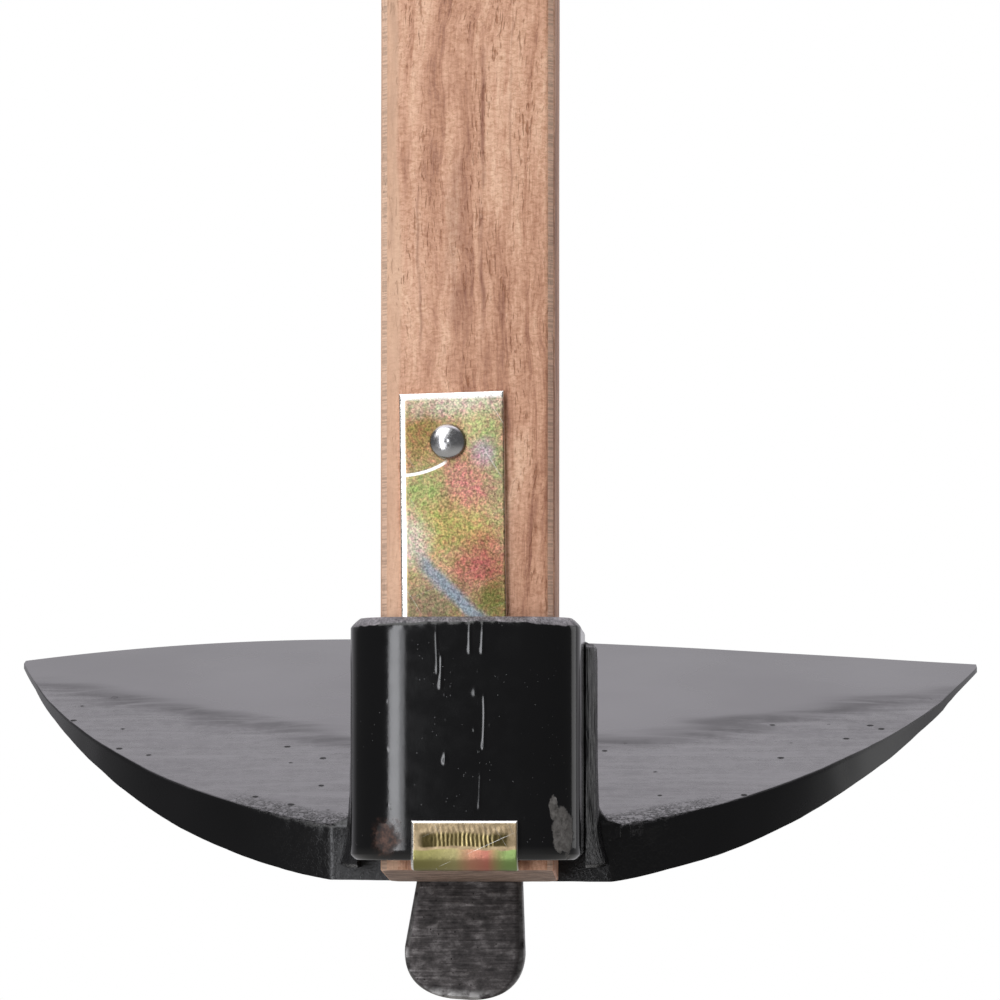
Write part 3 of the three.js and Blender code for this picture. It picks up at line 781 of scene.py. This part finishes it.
def strap_outline():
    """Points round the strap's section, anticlockwise from above, each with its outward normal."""
    half = STRAP_HALF
    inner_half, inner_r = half - STRAP_WALL, STRAP_CORNER - STRAP_WALL
    front, inner_front, end = STRAP_FRONT, STRAP_FRONT + STRAP_WALL, strap_high.y
    face_x = np.linspace(0, ROLL_END, 90)
    rolled = lerp(FACE_LEAN, ROLL_LEAN, (face_x - ROLL_START) / (ROLL_END - ROLL_START))
    face_lean = np.radians(np.where(face_x < ROLL_START, FACE_LEAN * face_x / ROLL_START, rolled))
    face_y = np.concatenate([[0], np.cumsum(np.diff(face_x) * np.tan(face_lean[1:]))])
    face_y += front - STRAP_CROWN
    lean = math.radians(ROLL_LEAN)
    r = (half - ROLL_END) / (1 - math.sin(lean))
    centre = face_y[-1] + r * math.cos(lean)

    def corner(side, fractions):
        for t in fractions:
            angle = lerp(lean, math.pi / 2, t)
            n = (side * math.sin(angle), -math.cos(angle))
            yield (side * (half - r) + r * n[0], centre + r * n[1], *n)

    outline = [(-half, end, -1, 1)]
    outline += [(-half, y, -1, 0) for y in np.linspace(end - 2, centre + 0.5, 26)]
    outline += corner(-1, np.linspace(1, 0, 40))
    face = list(zip(face_x, face_y, face_lean))
    outline += [(-x, y, -math.sin(a), -math.cos(a)) for x, y, a in face[-2:0:-1]]
    outline += [(x, y, math.sin(a), -math.cos(a)) for x, y, a in face[:-1]]
    outline += corner(1, np.linspace(0, 1, 40))
    outline += [(half, y, 1, 0) for y in np.linspace(centre + 0.5, end - 2, 26)]
    outline += [(half, end, 1, 1), (inner_half, end, -1, 1)]
    inner_bend = inner_front + inner_r
    outline += [(inner_half, y, -1, 0) for y in np.linspace(end - 2, inner_bend + 0.5, 8)]
    for side, turn in ((1, np.linspace(math.pi / 2, 0, 12)), (-1, np.linspace(0, math.pi / 2, 12))):
        for a in turn:
            n = (-side * math.sin(a), math.cos(a))
            bend_x = side * (inner_half - inner_r) - inner_r * n[0]
            outline.append((bend_x, inner_bend - inner_r * n[1], *n))
    outline += [(-inner_half, y, 1, 0) for y in np.linspace(inner_bend + 0.5, end - 2, 8)]
    outline += [(-inner_half, end, 1, 1)]
    return np.array(outline)


def build_strap(material):
    outline = strap_outline()
    x, y, nx, ny = outline.T
    inside = np.hypot(np.clip(np.abs(x) - (STRAP_HALF - STRAP_CORNER), 0, None),
                      np.clip(STRAP_FRONT + STRAP_CORNER - y, 0, None)) < STRAP_CORNER - STRAP_WALL / 2
    inside |= (y > STRAP_FRONT + STRAP_CORNER) & (np.abs(x) < STRAP_HALF - STRAP_WALL / 2)
    inside &= y > STRAP_FRONT + STRAP_WALL / 2
    arc = np.minimum(np.abs(x) / (STRAP_HALF - 3), 1) ** 2
    ragged = 0.25 * wobble(np.stack([x, y, 0 * x], axis=1), (3, 3, 3), 4.1, 2)
    bevel_top = np.where(inside, 0.5, lerp(1.0, 2.0, arc) + ragged)
    corners = smooth(STRAP_HALF - 9, STRAP_HALF - 1, np.abs(x))
    bevel_low = np.where(inside, 0.4, 1.2)
    heights = np.linspace(3, STRAP_TOP - 3, 170)
    levels = [("low", t) for t in (1, 0.72, 0.4, 0.15, 0)]
    levels += [("side", h) for h in heights]
    levels += [("top", t) for t in (0, 0.15, 0.4, 0.72, 0.93, 1)]
    rings, wear_and_highlight = [], []
    for kind, t in levels:
        if kind == "side":
            inset, z, worn = 0 * x, np.full(len(x), t), 0 * x
        else:
            bevel = bevel_top if kind == "top" else bevel_low
            inset = bevel * t**1.25
            drop = bevel * (1 - t) ** 1.1
            z = STRAP_TOP - drop if kind == "top" else drop
            worn = (0.82 if t > 0.1 else 0.4) * (1 - 0.3 * corners) if kind == "top" else 0 * x
        lump = 0 * x
        if kind == "side":
            lump = paint_lumps(x, np.full(len(x), t)) * (ny < -0.9) * ~inside
        px = x + nx * (lump - inset)
        py = y + ny * (lump - inset)
        rings.append(np.stack([px + STRAP_MIDDLE, py, z + BASE], axis=1))
        wear_and_highlight.append(worn)
    strap = make_mesh("socket_band", *loft(rings), [material], sharp=40)
    give(strap, "wear_and_highlight", np.concatenate(wear_and_highlight))
    return strap


def paint_lumps(x, rise):
    """Height of runs, drips and dust nibs on the strap's front."""
    height = np.zeros(len(x))
    for i, (cx, top, bottom, width, tall) in enumerate(PAINT_RUNS):
        sway = 0.12 * np.sin(rise * 0.35 + i)
        swell = 1 + 0.5 * np.exp(-((rise - bottom - 0.8) / 0.9) ** 2)
        across = np.exp(-(((x - cx - sway) / (0.5 * width * swell)) ** 2))
        along = smooth(bottom - 0.4, bottom + 0.4, rise) * smooth(top + 0.6, top - 1.5, rise)
        height += tall * across * along * swell
    spread = wobble(np.stack([x, 0 * x, rise], axis=1), (1.1, 1, 1.1), 6.6, 1)
    return height + 0.04 * smooth(0.7, 0.9, spread)


# ------------------------------------------------------------------ weld beads

BEAD_REACH = 2.35
BEAD_SIZE = 2.25
BEAD_SWELL = 1.15


def build_bead(name, side, material):
    """A rippled fillet in the corner between strap leg and wall, swelling to a foot."""
    foot, top = bead_low.z - BASE, bead_high.z - BASE
    x0 = abs(bead_low.x) if side > 0 else abs(box("weld_bead_left")[1].x)
    corner_y = bead_high.y
    heights = np.linspace(foot, top, 150)
    rings = []
    for h in heights:
        rise = (h - foot) / (top - foot)
        size = BEAD_SIZE * (1 + BEAD_SWELL * (1 - rise) ** 6)
        ripple = 0.12 * noise.noise(Vector((h * 0.16, side * 3, 1)))
        blunt = smooth(foot, foot + 0.8, h) * smooth(top, top - 1.0, h)
        size = (size + ripple) * (0.72 + 0.28 * blunt)
        reach = size * BEAD_REACH
        ring = [(0, 0)]
        for a in np.linspace(0, 1, 12):
            bulge = 0.62 + 0.12 * math.sin(a * math.pi)
            ring.append((size * (a + (0.06 + 0.2 * bulge) * math.sin(a * math.pi)),
                         -reach * (1 - a + 0.02 * math.sin(a * math.pi))))
        ring = np.clip(ring, (0, -reach), (size, 0))
        rings.append([(side * (x0 + x), corner_y + y, h + BASE) for x, y in ring])
    rings = np.array(rings)
    flat = rings.reshape(-1, 3)
    free = (np.abs(np.abs(flat[:, 0]) - x0) > 0.05) & (flat[:, 1] < corner_y - 0.05)
    rough = 0.2 * wobble(flat, (0.7, 4, 14), 3.3 + side, 2)
    flat[:, 0] += side * np.clip(rough, -0.3, 0.1) * free
    if side < 0:
        rings = rings[:, ::-1]
    return make_mesh(name, *loft(rings), [material], sharp=50)


# ------------------------------------------------------------------ retaining strip and nail

STRIP_HALF = 10.6
STRIP_THICKNESS = 1.8
STRIP_EDGE = 0.3
ROLLED = 1.5
HOOK_ROLLED = 0.6
ROLL_DROP = 0.2
KINK_RISE = 46
KINK_SIDE = -2.5
TOP_SIDE = -3.1
TOP_SLANT = 1.6
STRIP_TOP = strip_high.z - BASE - STRIP_HALF * tan(TOP_SLANT)
HOOK_TOP = 7.9
LEG_BEND = 1.5
HOOK_BEND = 1.9
HOOK_PRESS = 0.45


def edge_spaced(length, step):
    """Distances along a length, close together near both of its ends."""
    near = np.array([0, 0.07, 0.18, 0.35, 0.6])
    middle = np.linspace(0.8, length - 0.8, max(int(length / step), 2))
    return np.concatenate([near, middle, length - near[::-1]])


def strip_path():
    """Middle line (Y, rise) of the bent strip: down inside the strap, under it and up its front."""
    half = STRIP_THICKNESS / 2
    leg = strip_high.y - half
    floor = strip_low.z - BASE + half
    front = strip_low.y + half - 0.2
    low = floor + LEG_BEND
    path = [(leg, STRIP_TOP - d) for d in edge_spaced(STRIP_TOP - low, 0.8)[:-5]]
    for a in np.linspace(0, math.pi / 2, 8):
        path.append((leg - LEG_BEND * (1 - math.cos(a)), low - LEG_BEND * math.sin(a)))
    path += [(y, floor) for y in np.linspace(leg - LEG_BEND, front + HOOK_BEND, 5)[1:]]
    low = floor + HOOK_BEND
    for a in np.linspace(0, math.pi / 2, 12)[1:]:
        path.append((front + HOOK_BEND * (1 - math.sin(a)), low - HOOK_BEND * math.cos(a)))
    for d in edge_spaced(HOOK_TOP - low, 0.25)[5:]:
        path.append((front + HOOK_PRESS * float(smooth(0, 2.2, d)), low + d))
    return np.array(path)


def build_strip(material):
    path = strip_path()
    step = np.gradient(path, axis=0)
    step /= np.linalg.norm(step, axis=1)[:, None]
    run = np.concatenate([[0], np.cumsum(np.linalg.norm(np.diff(path, axis=0), axis=1))])
    across = edge_spaced(2 * STRIP_HALF, 0.22) - STRIP_HALF
    to_side = np.clip((STRIP_HALF - np.abs(across)) / STRIP_EDGE, 0, 1)
    hooked = path[:, 0] < strip_high.y - 5
    rings, wear_and_highlight = [], []
    for i, (y, h) in enumerate(path):
        up = not hooked[i]
        side = KINK_SIDE * np.clip((h - 1) / (KINK_RISE - 1), 0, 1) * up
        side += (TOP_SIDE - KINK_SIDE) * max(h - KINK_RISE, 0) / (STRIP_TOP - KINK_RISE) * up
        slant = tan(TOP_SLANT) * float(smooth(STRIP_TOP - 25, STRIP_TOP, h)) * across
        to_end = min(run[i], run[-1] - run[i], STRIP_EDGE) / STRIP_EDGE
        near = np.minimum(to_side, to_end)
        rolled = HOOK_ROLLED if hooked[i] else ROLLED
        broad = smooth(rolled, 0, np.minimum(STRIP_HALF + across, min(run[i], run[-1] - run[i])))
        depth = STRIP_THICKNESS / 2 - ROLL_DROP * broad - STRIP_EDGE * quarter(1 - near)
        ring = []
        for sign in (1, -1):
            order = slice(None) if sign > 0 else slice(None, None, -1)
            x = across[order]
            lift = sign * depth[order]
            if hooked[i] and sign < 0:
                pressed = smooth(3.0, 4.0, h) * smooth(7.4, 6.2, h) * smooth(9.5, 6.5, np.abs(x - 0.6))
                lift = lift + 0.015 * np.sin(x * 6.0 + 0.8 * np.sin(h * 2)) * pressed
                lift = lift + 0.06 * wobble(np.stack([x, 0 * x, 0 * x + h], axis=1), (4, 1, 2), 8.8, 2)
            elif sign > 0:
                lift = lift + 0.05 * wobble(np.stack([x, 0 * x, 0 * x + h], axis=1), (9, 1, 14), 1.8, 2)
            ring.append(np.stack([side + x, y + lift * step[i, 1],
                                  h - lift * step[i, 0] + slant[order] + BASE], axis=1))
            # Painted highlight: these values mark the rolled and cut edges, which the plating finish paints
            # near white for light glinting off them.
            wear_and_highlight.append(np.maximum(smooth(0.05, 0.3, broad[order]), 0.6 * (near[order] < 0.5)))
        rings.append(np.concatenate(ring))
    strip = make_mesh("plated_strip", *loft(rings), [material], sharp=50)
    give(strip, "wear_and_highlight", np.concatenate(wear_and_highlight))
    cut(strip, nail_hole("strip_hole_tool"), "DIFFERENCE")
    return strip


NAIL_X = (nail_low.x + nail_high.x) / 2
NAIL_Z = (nail_low.z + nail_high.z) / 2
NAIL_RADIUS = (nail_high.x - nail_low.x) / 2 + 0.1
NAIL_HEAD_HEIGHT = 2.2
NAIL_BASE = nail_low.y + NAIL_HEAD_HEIGHT
NAIL_SHANK = 1.3


def round_rings(profile, count):
    """Rings about the nail's axis from (radius, Y) pairs that run towards the front."""
    turn = np.linspace(0, 2 * math.pi, count, endpoint=False)
    return [[(NAIL_X + r * math.cos(a), y, NAIL_Z + r * math.sin(a)) for a in turn] for r, y in profile]


def nail_hole(name):
    radius = NAIL_SHANK + GAP
    return make_mesh(name, *loft(round_rings([(radius, nail_high.y + 2), (radius, NAIL_BASE - 3)], 32)), [])


def build_nail(material):
    profile = [(0.05, nail_high.y), (NAIL_SHANK, nail_high.y - 3), (NAIL_SHANK, NAIL_BASE),
               (NAIL_RADIUS - 0.35, NAIL_BASE), (NAIL_RADIUS - 0.1, NAIL_BASE - 0.1)]
    rim_y = NAIL_BASE - 0.25
    for a in np.linspace(0, math.pi / 2, 22)[:-1]:
        r = NAIL_RADIUS * math.cos(a)
        dimple = 0.07 * math.exp(-((r / 0.3) ** 2))
        dome = (rim_y - nail_low.y) * math.sin(a) ** 0.9
        profile.append((r, rim_y - dome + dimple))
    profile.append((0.03, nail_low.y + 0.07))
    return make_mesh("dome_nail", *loft(round_rings(profile, 64)), [material])


# ------------------------------------------------------------------ wedge

WEDGE_WIDTH = 20.2
WEDGE_TIP_RISE = 44
WEDGE_TIP_THICKNESS = 1.2
WEDGE_TIP_CORNER = 2
WEDGE_FOOT = -29.2
WEDGE_TAPER = 5
WEDGE_FLARE_ANGLE = 6
WEDGE_FLARE_LENGTH = 23
WEDGE_CORNER = 10
WEDGE_LEAN = 4
WEDGE_SIDE = -0.6
WEDGE_ROUND = 0.9


def wedge_thickness(rise):
    return WEDGE_TIP_THICKNESS + (WEDGE_TIP_RISE - rise) * tan(WEDGE_TAPER)


def build_wedge(material):
    """A rolled bar with rubbed round edges: straight, then flaring, then round-cornered at its foot."""
    half = WEDGE_WIDTH / 2
    flare_top = WEDGE_FOOT + WEDGE_CORNER + WEDGE_FLARE_LENGTH
    foot_half = half + WEDGE_FLARE_LENGTH * tan(WEDGE_FLARE_ANGLE)
    sides = []
    for t in np.linspace(1, 0, 26):
        start, middle, end = (1 - t) ** 2, 2 * t * (1 - t), t**2
        x = foot_half * start + foot_half * middle + (foot_half - WEDGE_CORNER) * end
        z = (WEDGE_FOOT + WEDGE_CORNER) * start + (WEDGE_FOOT + 1) * middle + WEDGE_FOOT * end
        sides.append((x, z))
    sides += [(lerp(foot_half, half, t), lerp(WEDGE_FOOT + WEDGE_CORNER, flare_top, t))
              for t in np.linspace(0, 1, 24)[1:]]
    corner_rise = WEDGE_TIP_RISE - WEDGE_TIP_CORNER
    sides += [(half, z) for z in np.linspace(flare_top, corner_rise, 30)[1:]]
    sides += [(half - WEDGE_TIP_CORNER * t, corner_rise + WEDGE_TIP_CORNER * t) for t in (0.5, 1)]
    lean = math.radians(WEDGE_LEAN)
    back = WALL_FRONT - GAP
    rings, wear_and_highlight = [], []
    for x_half, z in sides:
        from_foot = np.clip((z - WEDGE_FOOT) / WEDGE_ROUND, 0, 1)
        pull = WEDGE_ROUND * quarter(1 - from_foot)
        ring = np.array(rounded_box_ring(-x_half, x_half, -1, 0, 0.3, z, across=26))
        v = ring[:, 1]
        to_side = np.clip((x_half - np.abs(ring[:, 0])) / WEDGE_ROUND, 0, 1)
        curl = WEDGE_ROUND * quarter(1 - to_side)
        x = ring[:, 0] * math.cos(lean) + z * math.sin(lean)
        rise = -ring[:, 0] * math.sin(lean) + z * math.cos(lean)
        thick = wedge_thickness(rise)
        inset = np.minimum(pull + curl, 0.42 * thick)
        y = np.where(v < -0.5, back - thick + inset, back - inset)
        mid = (v > -0.98) & (v < -0.02)
        y = np.where(mid, back - thick / 2 + (v + 0.5) * (thick - 2 * inset), y)
        points = np.stack([x + WEDGE_SIDE, y, rise + BASE], axis=1)
        front = v < -0.98
        points[:, 1] += 0.16 * np.abs(wobble(points, (9, 9, 7), 6.1, 3)) * front * (rise < 10)
        rings.append(points)
        wear_and_highlight.append(np.clip(np.maximum(1 - to_side, smooth(2.5, 0.5, z - WEDGE_FOOT)), 0, 1))
    wedge = make_mesh("iron_wedge", *loft(rings), [material], sharp=50)
    give(wedge, "wear_and_highlight", np.concatenate(wear_and_highlight))
    return wedge


# ------------------------------------------------------------------ handle

HANDLE_LENGTH = handle_high.z - handle_low.z
HANDLE_WIDTH = 35
HANDLE_DEPTH = handle_high.y - handle_low.y
HANDLE_SWELL = 0.8
SWELL_LENGTH = 180
HEAD_CHAMFER = 1.7
GRIP_WIDTH = 33
GRIP_DEPTH = 28
GRIP_CHAMFER = 8
GRIP_START = 380
GRIP_EASING = 300
BUTT_BEVEL = 2.5
SAW_SLANT = 2.8
SAW_RUN_OUT = 8
ARRIS = 0.45
STRAP_LIFT = BASE - handle_low.z
OCTAGON = ((1, -0.5), (1, 0.5), (0.5, 1), (-0.5, 1), (-1, 0.5), (-1, -0.5), (-0.5, -1), (0.5, -1))


def handle_ring(rise, inset):
    grip = float(smooth(GRIP_START, GRIP_START + GRIP_EASING, rise))
    swell = HANDLE_SWELL * min(rise / SWELL_LENGTH, 1)
    half_width = lerp(HANDLE_WIDTH + swell, GRIP_WIDTH, grip) / 2 - inset
    half_depth = lerp(HANDLE_DEPTH, GRIP_DEPTH, grip) / 2 - inset
    ramp = WALL_FRONT - 2 * GAP - wedge_thickness(rise - STRAP_LIFT) - inset
    chamfer = lerp(HEAD_CHAMFER, GRIP_CHAMFER, grip) - inset / 2
    front, back = -half_depth, min(half_depth, ramp)
    corners = []
    for u, v in OCTAGON:
        on_side = abs(u) > 0.75
        x = math.copysign(half_width if on_side else half_width - chamfer, u)
        setback = chamfer if on_side else 0
        y = back - setback if v > 0 else front + setback
        corners.append(Vector((x, y)))
    ring = []
    for i, corner in enumerate(corners):
        before = corner + (corners[i - 1] - corner).normalized() * ARRIS
        after = corner + (corners[(i + 1) % len(corners)] - corner).normalized() * ARRIS
        ring += [before, before / 4 + corner / 2 + after / 4, after]
    lowered = max(0.0, 1 - rise / SAW_RUN_OUT)
    points = []
    for p in ring:
        lift = SAW_SLANT * (back - p.y) / (back - front) * lowered
        points.append((p.x, p.y, rise + lift + handle_low.z))
    return points


def build_handle(face, sawn, end):
    levels = [(0, 0.35), (0.12, 0.12), (0.4, 0)]
    levels += [(r, 0) for r in np.linspace(2, STRAP_LIFT + 40, 24)]
    levels += [(r, 0) for r in np.linspace(STRAP_LIFT + 46, HANDLE_LENGTH - BUTT_BEVEL, 150)]
    for a in np.linspace(0, 1, 8)[1:]:
        levels.append((HANDLE_LENGTH - BUTT_BEVEL * (1 - a), BUTT_BEVEL * quarter(a)))
    rings = np.array([handle_ring(rise, inset) for rise, inset in levels])
    flat = rings.reshape(-1, 3)
    above = smooth(60, 160, flat[:, 2] - handle_low.z)
    planed = wobble(flat, (40, 40, 90), 2.9, 3)
    length = np.hypot(flat[:, 0], flat[:, 1])[:, None]
    flat[:, :2] -= 0.16 * (above * (0.5 + 0.5 * planed))[:, None] * flat[:, :2] / length
    points, faces = loft(rings)
    around = [int(j % 3 == 2 and j // 3 % 2 == 1) for j in range(3 * len(OCTAGON))]
    kinds = around * (len(levels) - 1) + [2, 2]
    handle = make_mesh("oak_handle", points, faces, [face, sawn, end], kinds, sharp=50)
    cut(handle, nail_hole("handle_hole_tool"), "DIFFERENCE")
    return handle


# ------------------------------------------------------------------ camera, light and floor

EYE = Vector((45, -802.5, -1033.1))
YAW = -2.79
PITCH = 4.38
LENS = 140.87
FLOOR_DROP = 380
FLOOR_WIDTH = 40000
FLOOR_BACK = 7000
FLOOR_COLUMNS = 9
FLOOR_ROWS = 7


def add_camera():
    data = bpy.data.cameras.new("camera")
    data.lens = LENS
    data.clip_start, data.clip_end = 0.05, 200
    camera = add_object("camera", data)
    camera.location = EYE * MM
    yaw, pitch = math.radians(YAW), math.radians(PITCH)
    forward = Vector((math.sin(yaw) * math.cos(pitch), math.cos(yaw) * math.cos(pitch), math.sin(pitch)))
    camera.rotation_euler = forward.to_track_quat("-Z", "Y").to_euler()
    bpy.context.scene.camera = camera


def add_softbox(name, azimuth, elevation, distance, size, radiance, tint=(1, 1, 1)):
    """A rectangular light aimed at the head. Azimuth 0 is in front (-Y), positive towards +X."""
    data = bpy.data.lights.new(name, "AREA")
    data.shape = "RECTANGLE"
    data.size, data.size_y = (s * MM for s in size)
    data.energy = math.pi * data.size * data.size_y * radiance
    data.color = tint
    lamp = add_object(name, data)
    a, e = math.radians(azimuth), math.radians(elevation)
    out = Vector((math.sin(a) * math.cos(e), -math.cos(a) * math.cos(e), math.sin(e)))
    target = Vector((0, 0, BASE + 60))
    lamp.location = (target + out * distance) * MM
    lamp.rotation_euler = out.to_track_quat("Z", "Y").to_euler()
    lamp.visible_camera = False


def add_world():
    """White to the camera; for light and reflections, pale above, behind and below, dim in front."""
    world = bpy.data.worlds.new("studio")
    world.use_nodes = True
    tree = world.node_tree
    tree.nodes.clear()
    ray = add_node(tree, "ShaderNodeTexCoord", {}, "Generated")

    def grade(direction, low, high, under, colour):
        """Blends from `under` to a colour as the ray turns towards a direction."""
        dot = add_node(tree, "ShaderNodeVectorMath", {0: ray, 1: direction}, "Value", operation="DOT_PRODUCT")
        part = add_node(tree, "ShaderNodeMapRange", {"Value": dot, "From Min": low, "From Max": high})
        return add_mix(tree, part, under, colour)

    sky = grade((0.0, 1.0, 0.0), 0.4, 1.0, (0.12, 0.12, 0.124), (0.64, 0.63, 0.66))
    sky = grade((0.0, 0.35, 1.0), 0.66, 1.02, sky, (2.05, 1.965, 2.12))
    sky = grade((0.0, 0.0, -1.0), 0.08, 0.6, sky, (0.5, 0.49, 0.48))
    seen = add_node(tree, "ShaderNodeLightPath", {}, "Is Camera Ray")
    background = add_node(tree, "ShaderNodeBackground", {"Color": add_mix(tree, seen, sky, (1, 1, 1))})
    add_node(tree, "ShaderNodeOutputWorld", {0: background}, output=None)
    bpy.context.scene.world = world


def add_floor(material):
    z = wedge_low.z - FLOOR_DROP
    near, far = -FLOOR_WIDTH / 2, FLOOR_BACK
    xs = np.linspace(-FLOOR_WIDTH / 2, FLOOR_WIDTH / 2, FLOOR_COLUMNS)
    ys = np.linspace(near, far, FLOOR_ROWS)
    points = [(x, y, z) for y in ys for x in xs]
    starts = [j * FLOOR_COLUMNS + i for j in range(FLOOR_ROWS - 1) for i in range(FLOOR_COLUMNS - 1)]
    faces = [(a, a + 1, a + FLOOR_COLUMNS + 1, a + FLOOR_COLUMNS) for a in starts]
    mesh = bpy.data.meshes.new("floor")
    mesh.from_pydata((np.array(points) * MM).tolist(), [], faces)
    mesh.materials.append(material)
    floor = add_object("floor", mesh)
    floor.visible_diffuse = False
    floor.visible_glossy = False


add_camera()
add_world()
add_softbox("tall_box", -19.6, 2, 1400, (240, 1100), 7.4, (0.95, 0.96, 1.0))
add_softbox("tall_box_rim", -12.4, 2, 1400, (105, 1100), 3.6, (0.95, 0.96, 1.0))
add_softbox("top_box", -30, 44, 1500, (1300, 1000), 2.9)
add_softbox("right_box", 118, 12, 1500, (500, 1100), 0.9)
add_floor(pale_floor("floor_paint"))
bpy.context.scene.view_settings.view_transform = "Standard"

lacquer = black_lacquer("black_lacquer")
weld = weld_lacquer("weld_lacquer")

place(build_blade(forged_lacquer("forged_lacquer")), "blade")
place(build_strap(lacquer), "socket_strap")
place(build_bead("bead_left", -1, weld), "weld_bead_left")
place(build_bead("bead_right", 1, weld), "weld_bead_right")
place(build_strip(chromate("yellow_chromate")), "retaining_strip")
place(build_nail(nail_steel("nail_steel")), "strip_nail")
place(build_wedge(raw_steel("raw_steel")), "wedge")
place(build_handle(oak("oak_planed"), oak("oak_sawn", 1.0), oak_end("oak_end")), "handle")
